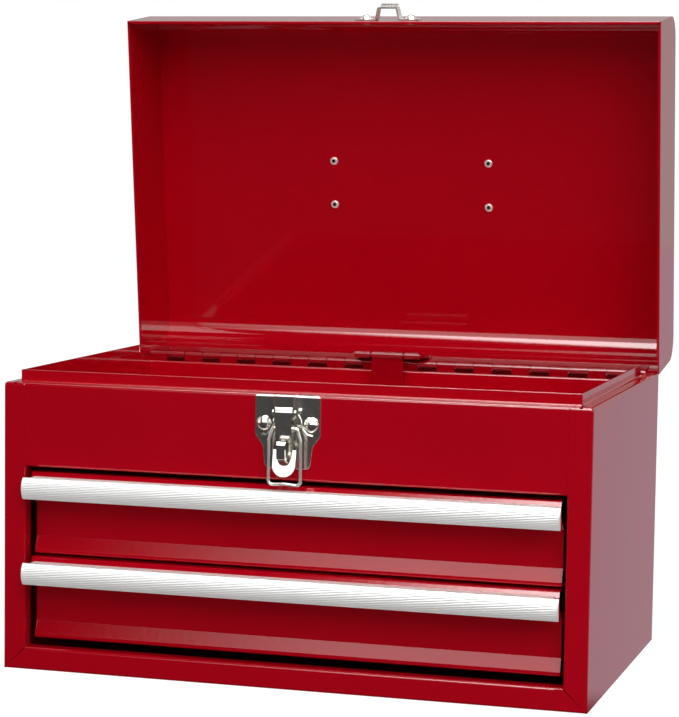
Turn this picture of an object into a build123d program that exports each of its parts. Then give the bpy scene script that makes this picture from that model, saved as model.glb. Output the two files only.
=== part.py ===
from build123d import *
import os

os.makedirs("parts", exist_ok=True)

# Portable two-drawer tool box in folded sheet steel, with its lid standing open.
# Origin: middle of the underside.  +X to the right, +Y to the back, +Z up, millimetres.

# ---- driving dimensions -------------------------------------------------------------
WIDTH = 360.0               # outside width of the cabinet and of the lid
DEPTH = 226.0               # outside depth of the cabinet and of the lid
HEIGHT = 175.0              # underside to the ledge that the lid closes on
SHEET = 0.9                 # steel sheet
BEND_OUT = 1.9              # outside radius of a fold
BEND = BEND_OUT - SHEET / 2  # the same fold on the middle of the sheet
FIT = 0.05                  # gap between spot-welded neighbours

POST = 14.0                 # width of the front frame, posts and bottom rail
RETURN = 8.5                # how far the frame's inner edges turn back
LEDGE = 8.0                 # ledge round the top that carries the lid's rim
LIP = 7.0                   # lip that rises inside the ledge
LIP_END = 90.0              # the side lips stop here, short of the hinge
REAR_FLANGE = 8.0
WELD_FLANGE = 12.0          # upturned edges of the floor
OPENING_TOP = 124.3         # top of the drawer opening
TRAY_FLOOR = 126.0
TRAY_TOP = 177.0
TRAY_REAR_TOP = 170.0

# drawers
DRAWER_BOTTOMS = {"upper": 70.7, "lower": 18.8}
DRAWER_HEIGHT = 50.4
DRAWER_FRONT_HALF = 162.5   # half width of a drawer front
DRAWER_PAN_HALF = 158.0
DRAWER_FACE = 10.4          # how far the face lies behind the frame
DRAWER_FLANGE = 18.0        # the front's edges reach back to the pan
DRAWER_REAR = 98.5
DRAWER_SIDE = 40.0          # height of a pan's sides
DRAWER_REAR_HEIGHT = 34.0
RUNNER_LEVEL = 30.0         # runner tongue above the drawer's underside
RUNNER_EDGE = 164.9
RAIL_LIP = 160.0
SLIDE_GAP = 0.25
PULL_HALF = 164.0
PULL_LEG_HALF = 160.0       # its web and rear leg stop short of the face's ends
PULL_PROUD = 10.5           # pull in front of the frame
PULL_BOTTOM = 34.8
PULL_TOP = 47.8
PULL_WALL = 1.5
SCREW_PITCH = 120.0
SCREW_LEVEL = 44.0

# lid and its piano hinge
LID_HEIGHT = 58.5
LID_GAP = 0.3               # rim above the ledge when shut
LID_OVERHANG = 1.7          # lid's front in front of the cabinet's when shut
LID_BEND = 15.0
HEM = 10.0
LID_OPEN = 83.0             # degrees from shut to the open rest
CORNER_CUT = 0.8            # rear corners of the rim that swing past the cabinet
PIN_Y = 112.3
PIN_Z = 174.4
PIN_R = 0.85
KNUCKLE_R = 2.1
KNUCKLE_BORE = 0.92
KNUCKLE_PITCH = 12.7
KNUCKLE_GAP = 0.4
KNUCKLES = 27
LEAF_END = (KNUCKLES * KNUCKLE_PITCH - KNUCKLE_GAP) / 2
END_GAP = 0.6               # room past the ends of the leaves
LEAF_Y = PIN_Y - KNUCKLE_R  # front face of both leaves
LEAF_WIDTH = 16.0
NOTCH = 5.2                 # depth of the cabinet leaf's slots for the lid's knuckles

# drawer lock bar that the lid pushes down
LOCK_Y = -9.0               # its barrel from the hinge pin, lid open
LOCK_Z = 6.0
BARREL_R = 2.3
BARREL_BORE = 1.08
LOCK_PIN_R = 1.0
LOCK_HALF = 11.0            # half width of the bar
LOCK_SHEET = 1.2
HOOK_REACH = 9.4
HOOK_LIP = 10.0
HOOK_CLEAR = 0.5
BRACKET_HALF = 24.5
OUTER_KNUCKLE = 22.0

# draw latch in the middle of the front
LATCH_CREST = 174.97        # top of the plate, rolled back round the ledge
CHANNEL_TOP = 174.6
LATCH_BOTTOM = 131.5
LATCH_HALF = 20.0
LATCH_PLATE = 1.0
CHANNEL_HALF = 6.3
CHANNEL_PROUD = 9.5
LEVER_PIVOT_Z = 164.9
LEVER_PIVOT_OUT = 6.5
LEVER_PIN_R = 1.2
LEVER_ROLL_R = 2.5
LEVER_HALF = 5.0
TIP_HALF = 6.95
LEVER_SHEET = 1.2
BAIL_PIVOT_Z = 155.7
BAIL_PIVOT_OUT = 6.0
BAIL_R = 0.9
BAIL_HALF = 9.75
BAIL_BOTTOM = 122.4
LATCH_RIVET_X = 14.5
LATCH_RIVET_Z = 157.7
STAPLE_HALF = 2.6
STAPLE_OUT = 14.0
STAPLE_TOP = 148.2
STAPLE_FOOT = 138.3
STAPLE_SHEET = 1.4
KEEPER_HALF = 21.5
KEEPER_PROUD = 10.4
KEEPER_LOW = 179.0
KEEPER_HIGH = 186.5
KEEPER_RIVET_X = 15.0

# carrying handle on the lid
HANDLE_X = 54.3
HANDLE_RIVET_Y = 15.0
HANDLE_PIVOT = 8.0          # pivot above the lid's top
HANDLE_ROD_R = 3.0
HANDLE_GRIP_R = 7.5
HANDLE_REACH = 34.0
HANDLE_CLEAR = 0.08         # running fit of the rod in its loops

# ---- derived ------------------------------------------------------------------------
SIDE = WIDTH / 2
FRONT = -DEPTH / 2
BACK = DEPTH / 2
HALF = SHEET / 2
INNER = SIDE - SHEET
LIP_X = SIDE - LEDGE
LIP_Y = FRONT + LEDGE
RIM = HEIGHT + LID_GAP
LID_TOP = RIM + LID_HEIGHT
BACK_PANEL_Y = BACK - SHEET - FIT
LID_FRONT = FRONT - LID_OVERHANG
HINGE = Axis((0, PIN_Y, PIN_Z), (1, 0, 0))
BARREL_REST = (PIN_Y + LOCK_Y, PIN_Z + LOCK_Z)


# ---- helpers ------------------------------------------------------------------------
def block(x0, x1, y0, y1, z0, z1):
    """A box between two corners."""
    middle = ((x0 + x1) / 2, (y0 + y1) / 2, (z0 + z1) / 2)
    return Pos(*middle) * Box(x1 - x0, y1 - y0, z1 - z0)


def rod(axis, start, end, radius):
    """A round bar from start to end along the named axis."""
    turns = {"x": Rot(0, 90, 0), "y": Rot(90, 0, 0), "z": Rot(0, 0, 0)}
    middle = tuple((a + b) / 2 for a, b in zip(start, end))
    length = sum(abs(b - a) for a, b in zip(start, end))
    return Pos(*middle) * turns[axis] * Cylinder(radius, length)


def folded(points, radius=BEND, thickness=SHEET):
    """Cross-section of a folded strip, from the middle line of its sheet."""
    return trace(FilletPolyline(*points, radius=radius), line_width=thickness)


def along_x(profile, x0, x1):
    """Carry a (y, z) cross-section along X."""
    plane = Plane(origin=(x0, 0, 0), x_dir=(0, 1, 0), z_dir=(1, 0, 0))
    return extrude(plane * profile, amount=x1 - x0)


def along_y(profile, y0, y1):
    """Carry an (x, z) cross-section along Y."""
    plane = Plane(origin=(0, y1, 0), x_dir=(1, 0, 0), z_dir=(0, -1, 0))
    return extrude(plane * profile, amount=y1 - y0)


def along_z(profile, z0, z1):
    """Carry an (x, y) cross-section up Z."""
    return extrude(Plane.XY.offset(z0) * profile, amount=z1 - z0)


def outline(*points):
    """A flat face with straight sides."""
    return make_face(Polyline(*points, close=True))


def upright_edges(solid, x, y):
    """The vertical edges of a solid at one place."""
    near = solid.edges().filter_by(Axis.Z)
    return [e for e in near if abs(e.center().X - x) < 0.01 and abs(e.center().Y - y) < 0.01]


def edges_at(solid, axis, **place):
    """The edges along an axis whose middle has the given coordinates."""
    found = []
    for edge in solid.edges().filter_by(axis):
        middle = edge.center()
        if all(abs(getattr(middle, k) - v) < 0.01 for k, v in place.items()):
            found.append(edge)
    return found


def both_sides(solid):
    """The solid and its mirror image on the left."""
    return solid, mirror(solid, about=Plane.YZ)


def open_lid(solid):
    """Turn a piece of the shut lid back to where it stands open."""
    return solid.rotate(HINGE, -LID_OPEN)


def domed_rivet(x, z, out, radius, rise, shank_r, inward):
    """A rivet on a vertical front face: a domed head outside, a small formed tail inside."""
    ball_r = (radius ** 2 + rise ** 2) / (2 * rise)
    face = FRONT - out
    dome = Pos(x, face - rise + ball_r, z) * Sphere(ball_r)
    wide = radius + 1
    dome = dome & block(x - wide, x + wide, face - rise - 1, face, z - wide, z + wide)
    shank = rod("y", (x, face - rise / 2, z), (x, FRONT + inward + 0.5, z), shank_r)
    tail = rod("y", (x, FRONT + inward, z), (x, FRONT + inward + 0.8, z), shank_r * 1.5)
    return dome + shank + tail


# ---- cabinet ------------------------------------------------------------------------
def side_panel():
    """Right side: wall, front post with its return, top ledge, lip and rear flange."""
    reach = 30.0
    outer = block(SIDE - reach, SIDE, FRONT, BACK, 0, HEIGHT)
    folds = upright_edges(outer, SIDE, FRONT) + upright_edges(outer, SIDE, BACK)
    folds += edges_at(outer, Axis.Y, X=SIDE, Z=HEIGHT)
    folds += edges_at(outer, Axis.X, Y=FRONT, Z=HEIGHT)
    outer = fillet(folds, BEND_OUT)
    inner = block(SIDE - reach - 1, INNER, FRONT + SHEET, BACK - SHEET, -1, HEIGHT - SHEET)
    folds = upright_edges(inner, INNER, FRONT + SHEET) + upright_edges(inner, INNER, BACK - SHEET)
    folds += edges_at(inner, Axis.Y, X=INNER, Z=HEIGHT - SHEET)
    panel = outer - fillet(folds, BEND_OUT - SHEET)
    panel -= block(0, LIP_X + 1.5, FRONT - 1, LIP_END, HEIGHT - SHEET, HEIGHT + 1)
    panel -= block(0, LEAF_END + END_GAP, LIP_END - 1, BACK + 1, HEIGHT - SHEET, HEIGHT + 1)
    panel -= block(0, SIDE - POST, FRONT - 1, FRONT + SHEET + 0.2, -1, HEIGHT)
    panel -= block(0, SIDE - REAR_FLANGE, BACK - SHEET - 0.2, BACK + 1, -1, HEIGHT)
    lip_line = [(LIP_X + 1.6, HEIGHT - HALF), (LIP_X - HALF, HEIGHT - HALF), (LIP_X - HALF, HEIGHT + LIP)]
    lip = along_y(folded(lip_line), LIP_Y + SHEET + 0.6, LIP_END)
    panel += fillet(edges_at(lip, Axis.Y, X=LIP_X, Z=HEIGHT + LIP), 0.5)
    returned = block(SIDE - POST, SIDE - POST + SHEET, FRONT, FRONT + RETURN, POST, HEIGHT - SHEET)
    panel += returned
    inner_edge = upright_edges(panel, SIDE - POST, FRONT)
    panel = fillet(inner_edge, BEND_OUT - SHEET)
    panel += block(SIDE - POST, SIDE - POST + SHEET, FRONT, FRONT + SHEET, OPENING_TOP, HEIGHT - BEND_OUT)
    seam = FIT
    below = outline((SIDE, -seam), (SIDE - POST - 2, -seam), (SIDE - POST - 2, POST + 2 - seam))
    below = Pos(0, seam) * below
    panel -= along_y(below, FRONT - 1, FRONT + SHEET + 0.3)
    return panel


def bottom_panel():
    """Floor of the cabinet with the front rail folded up from it, mitred into the posts."""
    half_width = INNER - 5 * FIT
    line = [
        (FRONT + RETURN, POST - HALF),
        (FRONT + HALF, POST - HALF),
        (FRONT + HALF, HALF),
        (BACK_PANEL_Y - SHEET - FIT - HALF, HALF),
        (BACK_PANEL_Y - SHEET - FIT - HALF, WELD_FLANGE),
    ]
    panel = along_x(folded(line), -half_width, half_width)
    past = POST + 2
    above = outline((SIDE, 0), (SIDE, past), (SIDE - past, past))
    corner = along_y(above, FRONT - 1, FRONT + SHEET + 0.3)
    edge = SIDE - POST - FIT
    corner += block(edge, SIDE, FRONT - 1, FRONT + RETURN + 1, SHEET + BEND, POST + 1)
    flap = block(half_width - SHEET, half_width, FRONT + RETURN + 2, BACK - 6, HALF, WELD_FLANGE)
    mitre = outline((SIDE - FIT, 0.1), (edge - 5, 0.1), (edge - 5, POST - SHEET), (edge, POST - SHEET))
    mitre = along_y(mitre, FRONT, FRONT + SHEET)
    mitre = mitre & block(0, half_width, FRONT, BACK, SHEET + 0.5, POST)
    for cut, side_flap, side_mitre in zip(both_sides(corner), both_sides(flap), both_sides(mitre)):
        panel = panel - cut + side_flap + side_mitre
    return panel


def back_panel():
    """Flat rear sheet whose upper edge slopes down under the hinge, with raised ends beside it."""
    half_width = INNER - BEND_OUT + SHEET - FIT
    front = BACK_PANEL_Y - SHEET
    low = SHEET + FIT
    profile = outline((front, low), (BACK_PANEL_Y, low), (BACK_PANEL_Y, 172.2), (front, 172.43))
    panel = along_x(profile, -half_width, half_width)
    shoulder = block(LEAF_END + END_GAP, half_width, front, BACK_PANEL_Y, low, HEIGHT - SHEET - FIT)
    for side_shoulder in both_sides(shoulder):
        panel += side_shoulder
    return panel


def front_panel():
    """Upper front between the posts, with the ledge and the front lip."""
    line = [
        (FRONT + RETURN, OPENING_TOP + HALF),
        (FRONT + HALF, OPENING_TOP + HALF),
        (FRONT + HALF, HEIGHT - HALF),
        (LIP_Y + HALF, HEIGHT - HALF),
        (LIP_Y + HALF, HEIGHT + LIP),
    ]
    half_width = LIP_X - 0.1
    panel = along_x(folded(line), -half_width, half_width)
    lip_edge = edges_at(panel, Axis.X, Y=LIP_Y, Z=HEIGHT + LIP)
    panel = fillet(lip_edge, 0.5)
    shoulder = block(SIDE - POST - FIT, SIDE, FRONT - 1, 0, 0, HEIGHT - SHEET)
    for cut in both_sides(shoulder):
        panel -= cut
    for x in (-LATCH_RIVET_X, LATCH_RIVET_X):
        panel -= rod("y", (x, FRONT - 1, LATCH_RIVET_Z), (x, FRONT + 3, LATCH_RIVET_Z), 2.05)
    return panel


def top_tray():
    """Open pan under the lid, with a slot in its floor for the lock bar."""
    half_width = LIP_X - SHEET - FIT
    front = LIP_Y + SHEET + FIT
    rear = LEAF_Y - 1.0
    pan = block(-half_width, half_width, front, rear, TRAY_FLOOR, TRAY_TOP)
    corners = upright_edges(pan, half_width, front) + upright_edges(pan, -half_width, front)
    pan = fillet(corners, BEND_OUT)
    hollow = block(-half_width + SHEET, half_width - SHEET, front + SHEET, rear - SHEET,
                   TRAY_FLOOR + SHEET, TRAY_TOP + 1)
    corners = upright_edges(hollow, half_width - SHEET, front + SHEET)
    corners += upright_edges(hollow, -half_width + SHEET, front + SHEET)
    pan -= fillet(corners, BEND_OUT - SHEET)
    pan -= block(-SIDE, SIDE, LIP_END, rear + 1, HEIGHT - 1, TRAY_TOP + 1)
    pan -= block(-half_width + SHEET, half_width - SHEET, rear - SHEET - 1, rear + 1,
                 TRAY_REAR_TOP - BEND_OUT, TRAY_TOP + 1)
    bend = folded([(rear - HALF, TRAY_REAR_TOP - 6), (rear - HALF, TRAY_REAR_TOP - HALF),
                   (LEAF_Y - 0.1, TRAY_REAR_TOP - HALF)], radius=0.9)
    pan += along_x(bend, -half_width + SHEET, half_width - SHEET)
    slot_front = BARREL_REST[0] - 4.8
    pan -= block(-LOCK_HALF - 1, LOCK_HALF + 1, slot_front, rear - SHEET - 0.1,
                 TRAY_FLOOR - 1, TRAY_FLOOR + SHEET + 0.5)
    return pan


def rail(bottom):
    """Right-hand channel that a drawer's runner slides in, with its tabs."""
    low = bottom + RUNNER_LEVEL - SLIDE_GAP - HALF
    high = bottom + RUNNER_LEVEL + SHEET + SLIDE_GAP + HALF + 3.0
    web = SIDE - POST + SHEET + FIT + HALF
    line = [(RAIL_LIP, high), (web, high), (web, low), (RAIL_LIP, low)]
    channel = along_y(folded(line, radius=0.9), FRONT + DRAWER_FLANGE + 1.0, BACK - 5)
    tab_top = high + 3
    tab_rear = BACK_PANEL_Y - SHEET - FIT
    channel += block(web - HALF, web + HALF, FRONT + 3, tab_rear, low + 1.5, high - 1.5)
    channel += block(web - HALF, web + 10, tab_rear - SHEET, tab_rear, low - 3, tab_top)
    return channel


# ---- drawers ------------------------------------------------------------------------
def drawer_pan(bottom):
    """Floor, sides and back of a drawer."""
    half_width = DRAWER_PAN_HALF
    front = FRONT + DRAWER_FLANGE + FIT
    floor = bottom + SHEET + 0.3
    pan = block(-half_width, half_width, front, DRAWER_REAR, floor, bottom + DRAWER_SIDE)
    places = [(x, y) for x in (-half_width, half_width) for y in (front, DRAWER_REAR)]
    pan = fillet([e for x, y in places for e in upright_edges(pan, x, y)], BEND_OUT)
    hollow = block(-half_width + SHEET, half_width - SHEET, front + SHEET, DRAWER_REAR - SHEET,
                   floor + SHEET, bottom + DRAWER_SIDE + 1)
    places = [(x, y) for x in (-half_width + SHEET, half_width - SHEET)
              for y in (front + SHEET, DRAWER_REAR - SHEET)]
    hollow = fillet([e for x, y in places for e in upright_edges(hollow, x, y)], BEND_OUT - SHEET)
    pan -= hollow
    pan -= block(-half_width + 4, half_width - 4, DRAWER_REAR - 2, DRAWER_REAR + 1,
                 bottom + DRAWER_REAR_HEIGHT, bottom + DRAWER_SIDE + 1)
    return pan


def drawer_front(bottom):
    """Folded front: foot, bevel, face, then forward behind the pull and back along the top."""
    face = DRAWER_FACE + HALF
    line = [
        (DRAWER_FLANGE, HALF),
        (face - 3.0, HALF),
        (face - 3.0, 2.4),
        (face, 10.2),
        (face, 33.0),
        (1.3, 41.0),
        (1.3, 46.5),
        (3.4, DRAWER_HEIGHT - HALF),
        (DRAWER_FLANGE, DRAWER_HEIGHT - HALF),
    ]
    radii = [0.6, 0.6, 1.2, 2.0, 2.0, 1.2, 1.2]
    placed = [(FRONT + y, bottom + z) for y, z in line]
    sheet = along_x(folded(placed, radius=radii), -DRAWER_FRONT_HALF, DRAWER_FRONT_HALF)
    for x in (-SCREW_PITCH, 0, SCREW_PITCH):
        sheet -= rod("y", (x, FRONT - 1, bottom + SCREW_LEVEL), (x, FRONT + 4, bottom + SCREW_LEVEL), 1.6)
    return sheet


def drawer_pull(bottom):
    """Aluminium extrusion: a bulged face, a top web and a rear leg screwed to the front."""
    top = bottom + PULL_TOP
    low = bottom + PULL_BOTTOM
    leg = FRONT + 0.8
    face = FRONT - PULL_PROUD
    outer = [(leg, top), (face + 2.6, top), (face + 2.6, low), (leg, low)]
    bulge = make_face(Curve() + [
        Line(outer[1], outer[0]),
        Line(outer[0], (leg, low + 4)),
        Line((leg, low + 4), (leg, low)),
        Line((leg, low), outer[2]),
        ThreePointArc(outer[2], (face, (top + low) / 2), outer[1]),
    ])
    body = along_x(bulge, -PULL_HALF, PULL_HALF)
    edges = edges_at(body, Axis.X, Y=face + 2.6, Z=top) + edges_at(body, Axis.X, Y=face + 2.6, Z=low)
    body = fillet(edges, 0.7)
    grip = block(-SIDE, SIDE, face + 3.6, leg - PULL_WALL, low - 1, top - PULL_WALL)
    body -= grip
    body -= block(-SIDE, SIDE, leg - PULL_WALL - 0.1, FRONT + 3, low - 1, bottom + 40.5)
    for cut in both_sides(block(PULL_LEG_HALF, SIDE, face + 3.6, FRONT + 3, low - 1, top + 1)):
        body -= cut
    for x in (-SCREW_PITCH, 0, SCREW_PITCH):
        body -= rod("y", (x, FRONT - 3, bottom + SCREW_LEVEL), (x, FRONT + 4, bottom + SCREW_LEVEL), 1.6)
    return body


def pull_screws(bottom):
    """Three pan-head screws that hold the pull's leg to the drawer front."""
    level = bottom + SCREW_LEVEL
    found = []
    for x in (-SCREW_PITCH, 0, SCREW_PITCH):
        face = FRONT + 0.8 - PULL_WALL
        shank = rod("y", (x, face - 1, level), (x, FRONT + 4.5, level), 1.5)
        head = rod("y", (x, face - 1.6, level), (x, face, level), 2.2)
        nut = rod("y", (x, FRONT + 1.8, level), (x, FRONT + 3.8, level), 2.0)
        found.append(shank + head + nut)
    return Compound(found)


def runner(bottom):
    """Right-hand runner of a drawer: an angle with its tongue in the rail."""
    inside = DRAWER_PAN_HALF + FIT
    level = bottom + RUNNER_LEVEL
    leg = block(inside, inside + SHEET, FRONT + 24, DRAWER_REAR - 2, level - 9, level + SHEET)
    tongue = block(inside, RUNNER_EDGE, FRONT + 24, DRAWER_REAR - 2, level, level + SHEET)
    return leg + tongue


# ---- hinge --------------------------------------------------------------------------
def hinge_leaf(direction, parity):
    """One leaf of the piano hinge: direction -1 hangs below the pin, +1 stands above it."""
    reach = KNUCKLES // 2
    far = PIN_Z + direction * LEAF_WIDTH
    slot = NOTCH if direction < 0 else KNUCKLE_R + 1.0
    leaf = block(-LEAF_END, LEAF_END, LEAF_Y, LEAF_Y + SHEET, min(PIN_Z, far), max(PIN_Z, far))
    notch_far = PIN_Z + direction * slot
    low = min(PIN_Z - direction, notch_far)
    high = max(PIN_Z - direction, notch_far)
    for k in range(-reach, reach + 1):
        x = k * KNUCKLE_PITCH
        half = (KNUCKLE_PITCH - KNUCKLE_GAP) / 2
        if k % 2 == parity:
            leaf += rod("x", (x - half, PIN_Y, PIN_Z), (x + half, PIN_Y, PIN_Z), KNUCKLE_R)
        else:
            wide = KNUCKLE_PITCH / 2 + KNUCKLE_GAP / 2
            leaf -= block(x - wide, x + wide, LEAF_Y - 1, LEAF_Y + SHEET + 1, low, high)
    leaf -= rod("x", (-SIDE, PIN_Y, PIN_Z), (SIDE, PIN_Y, PIN_Z), KNUCKLE_BORE)
    return leaf


def hinge_pin():
    """Wire that runs the length of the hinge."""
    end = KNUCKLES * KNUCKLE_PITCH / 2 + 0.2
    return rod("x", (-end, PIN_Y, PIN_Z), (end, PIN_Y, PIN_Z), PIN_R)


# ---- lid (made shut, then turned open) ----------------------------------------------
def lid_wrap():
    """Front, top and back of the lid in one bent sheet with hemmed rims."""
    half_width = INNER - FIT
    rear_edge = PIN_Z + KNUCKLE_R + 1.4
    line = [
        (LID_FRONT + HALF, RIM),
        (LID_FRONT + HALF, LID_TOP - HALF),
        (BACK - HALF, LID_TOP - HALF),
        (BACK - HALF, rear_edge),
    ]
    wrap = along_x(folded(line, radius=LID_BEND), -half_width, half_width)
    hem_half = half_width - SHEET - FIT
    wrap += block(-hem_half, hem_half, LID_FRONT + SHEET, LID_FRONT + 2 * SHEET, RIM, RIM + HEM)
    wrap += block(-hem_half, hem_half, BACK - 2 * SHEET, BACK - SHEET, rear_edge, rear_edge + HEM)
    wrap = fillet(edges_at(wrap, Axis.X, Y=LID_FRONT, Z=RIM), 0.6)
    for x in (-HANDLE_X, HANDLE_X):
        for y in (-HANDLE_RIVET_Y, HANDLE_RIVET_Y):
            wrap -= rod("z", (x, y, LID_TOP - 3), (x, y, LID_TOP + 1), 1.65)
    for x in (-KEEPER_RIVET_X, KEEPER_RIVET_X):
        level = (KEEPER_LOW + KEEPER_HIGH) / 2
        wrap -= rod("y", (x, LID_FRONT - 1, level), (x, FRONT + 4, level), 1.55)
    return wrap


def lid_end():
    """Right end wall, with a hemmed rim and a cut rear corner."""
    plate = block(INNER, SIDE, LID_FRONT, BACK, RIM, LID_TOP)
    rounds = edges_at(plate, Axis.X, Y=LID_FRONT, Z=LID_TOP) + edges_at(plate, Axis.X, Y=BACK, Z=LID_TOP)
    plate = fillet(rounds, LID_BEND + HALF)
    plate += block(INNER - SHEET, INNER, FRONT + 4, BACK - 8, RIM, RIM + HEM)
    rim = edges_at(plate, Axis.Y, X=SIDE, Z=RIM)
    plate = fillet(rim, 0.6)
    cut = outline((BACK + 1, RIM - 1), (BACK - CORNER_CUT - 1, RIM - 1), (BACK + 1, RIM + CORNER_CUT + 1))
    return plate - along_x(cut, 0, SIDE + 1)


def lock_place():
    """The lock barrel's centre with the lid shut, found by turning its open place back."""
    turned = Vector(0, LOCK_Y, LOCK_Z).rotate(Axis.X, LID_OPEN)
    return PIN_Y + turned.Y, PIN_Z + turned.Z


def lock_bracket():
    """Bracket on the lid's leaf that carries the lock bar's barrel."""
    y, z = lock_place()
    rear = y + BARREL_R - HALF
    seat = LEAF_Y - FIT - HALF
    line = [(rear, z), (rear, PIN_Z + 4.2), (seat, PIN_Z + 7.2), (seat, PIN_Z + 15.0)]
    plate = along_x(folded(line, radius=1.2), -BRACKET_HALF, BRACKET_HALF)
    plate -= block(OUTER_KNUCKLE, SIDE, 0, BACK, 0, z + 5)
    plate -= block(-SIDE, -OUTER_KNUCKLE, 0, BACK, 0, z + 5)
    plate -= block(-LOCK_HALF - 1, LOCK_HALF + 1, 0, BACK, 0, z + 5)
    for x in (-1, 1):
        start = x * (LOCK_HALF + 1)
        plate += rod("x", (start, y, z), (x * OUTER_KNUCKLE, y, z), BARREL_R)
    return plate - rod("x", (-SIDE, y, z), (SIDE, y, z), BARREL_BORE)


def lock_pin():
    """Pin through the barrel."""
    y, z = lock_place()
    end = OUTER_KNUCKLE + 0.6
    return rod("x", (-end, y, z), (end, y, z), LOCK_PIN_R)


def lock_bar():
    """Bar that hangs from the lid and drops its hooks inside the drawers' backs."""
    y, z = BARREL_REST
    sinks = z - lock_place()[1]
    hook_levels = {}
    for name, bottom in DRAWER_BOTTOMS.items():
        hook_levels[name] = bottom + DRAWER_REAR_HEIGHT + HOOK_CLEAR + sinks
    lowest = hook_levels["lower"] - 6
    face = y - LOCK_SHEET / 2
    bar = block(-LOCK_HALF, LOCK_HALF, face, face + LOCK_SHEET, lowest, z)
    bar += rod("x", (-LOCK_HALF + 0.4, y, z), (LOCK_HALF - 0.4, y, z), BARREL_R)
    bar -= block(-SIDE, -LOCK_HALF + 0.4, 0, BACK, z - 4, z + 4)
    bar -= block(LOCK_HALF - 0.4, SIDE, 0, BACK, z - 4, z + 4)
    flange = block(LOCK_HALF - LOCK_SHEET, LOCK_HALF, face, y + 2.4, lowest, z - 6)
    for side_flange in both_sides(flange):
        bar += side_flange
    bar -= rod("x", (-SIDE, y, z), (SIDE, y, z), BARREL_BORE)
    for level in hook_levels.values():
        tip = y - HOOK_REACH
        half = LOCK_HALF - 3
        bar += block(-half, half, tip - LOCK_SHEET / 2, face + 0.1, level, level + LOCK_SHEET)
        bar += block(-half, half, tip - LOCK_SHEET / 2, tip + LOCK_SHEET / 2,
                     level - HOOK_LIP, level + LOCK_SHEET)
    return bar


# ---- latch --------------------------------------------------------------------------
def latch_base():
    """Riveted plate with a raised channel whose cheeks carry the lever."""
    foot_half = 13.7
    roll_z = HEIGHT - BEND_OUT
    half_outline = [
        (0, roll_z), (LATCH_HALF, roll_z), (LATCH_HALF, 151.2), (15.2, 144.6),
        (foot_half, LATCH_BOTTOM), (0, LATCH_BOTTOM),
    ]
    mirrored = [(-x, z) for x, z in reversed(half_outline[1:-1])]
    plate = along_y(outline(*half_outline, *mirrored), FRONT - LATCH_PLATE, FRONT)
    corners = []
    for x in (-foot_half, foot_half):
        corners += edges_at(plate, Axis.Y, X=x, Z=LATCH_BOTTOM)
    plate = fillet(corners, 3.0)
    rim = [e for e in plate.faces().sort_by(Axis.Y)[0].outer_wire().edges() if e.center().Z < roll_z - 0.01]
    plate = fillet(rim, 0.5)
    ring = Circle(BEND_OUT + LATCH_PLATE) - Circle(BEND_OUT + 0.03)
    ring = ring & outline((0, 0), (-10, 0), (-10, 8.4))
    plate += along_x(Pos(FRONT + BEND_OUT, roll_z) * ring, -LATCH_HALF, LATCH_HALF)
    height = 60.0
    tall = Pos(0, LATCH_CREST - height / 2) * RectangleRounded(2 * LATCH_HALF, height, 2.5)
    plate = plate & along_y(tall, FRONT - 3, FRONT + 3)
    ear_low = 158.8
    crown = 168.3
    outer = block(-CHANNEL_HALF, CHANNEL_HALF, FRONT - CHANNEL_PROUD, FRONT - 0.5, ear_low, CHANNEL_TOP)
    folds = upright_edges(outer, CHANNEL_HALF, FRONT - CHANNEL_PROUD)
    folds += upright_edges(outer, -CHANNEL_HALF, FRONT - CHANNEL_PROUD)
    outer = fillet(folds, 1.4)
    inside = CHANNEL_HALF - LATCH_PLATE
    outer -= block(-inside, inside, FRONT - CHANNEL_PROUD + LATCH_PLATE, FRONT + 1, 0, HEIGHT + 9)
    outer -= block(-SIDE, SIDE, FRONT - CHANNEL_PROUD - 1, FRONT - LEVER_PIVOT_OUT - 2.2, 0, crown)
    outer -= block(-inside, inside, FRONT - CHANNEL_PROUD - 1, FRONT, 0, crown)
    slope = outline((FRONT - 2.5, ear_low - 1), (FRONT - CHANNEL_PROUD - 2, ear_low - 1),
                    (FRONT - CHANNEL_PROUD - 2, LEVER_PIVOT_Z - 0.5))
    outer -= along_x(slope, -SIDE, SIDE)
    base = plate + outer
    wall = FRONT - LATCH_PLATE - 0.05
    rib_line = [(6.4, 163.5), (7.9, 160.9), (9.0, 155.3), (12.2, 151.8), (15.6, 151.3)]
    path = FilletPolyline(*[(x, wall, z) for x, z in rib_line], radius=[1.5, 4.0, 2.5])
    start = Plane(origin=path @ 0, z_dir=path % 0)
    for side_rib in both_sides(sweep(start * Circle(0.65), path=path)):
        base += side_rib
    pivot = (FRONT - LEVER_PIVOT_OUT, LEVER_PIVOT_Z)
    base -= rod("x", (-SIDE, *pivot), (SIDE, *pivot), LEVER_PIN_R + 0.06)
    for x in (-LATCH_RIVET_X, LATCH_RIVET_X):
        base -= rod("y", (x, FRONT - 4, LATCH_RIVET_Z), (x, FRONT + 4, LATCH_RIVET_Z), 2.05)
    return base


def latch_rivets():
    """Two domed rivets through the latch plate and the front panel."""
    found = []
    for x in (-LATCH_RIVET_X, LATCH_RIVET_X):
        found.append(domed_rivet(x, LATCH_RIVET_Z, LATCH_PLATE, 4.6, 3.0, 2.0, SHEET))
    return Compound(found)


def latch_staple():
    """Strip loop that pokes through the lever's slot to take a padlock."""
    rear = FRONT - LATCH_PLATE
    line = [
        (rear - 0.05, STAPLE_TOP), (FRONT - STAPLE_OUT + 0.7, STAPLE_TOP),
        (FRONT - STAPLE_OUT + 0.7, STAPLE_FOOT), (rear - 0.05, STAPLE_FOOT),
    ]
    return along_x(folded(line, radius=2.0, thickness=STAPLE_SHEET), -STAPLE_HALF, STAPLE_HALF)


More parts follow.
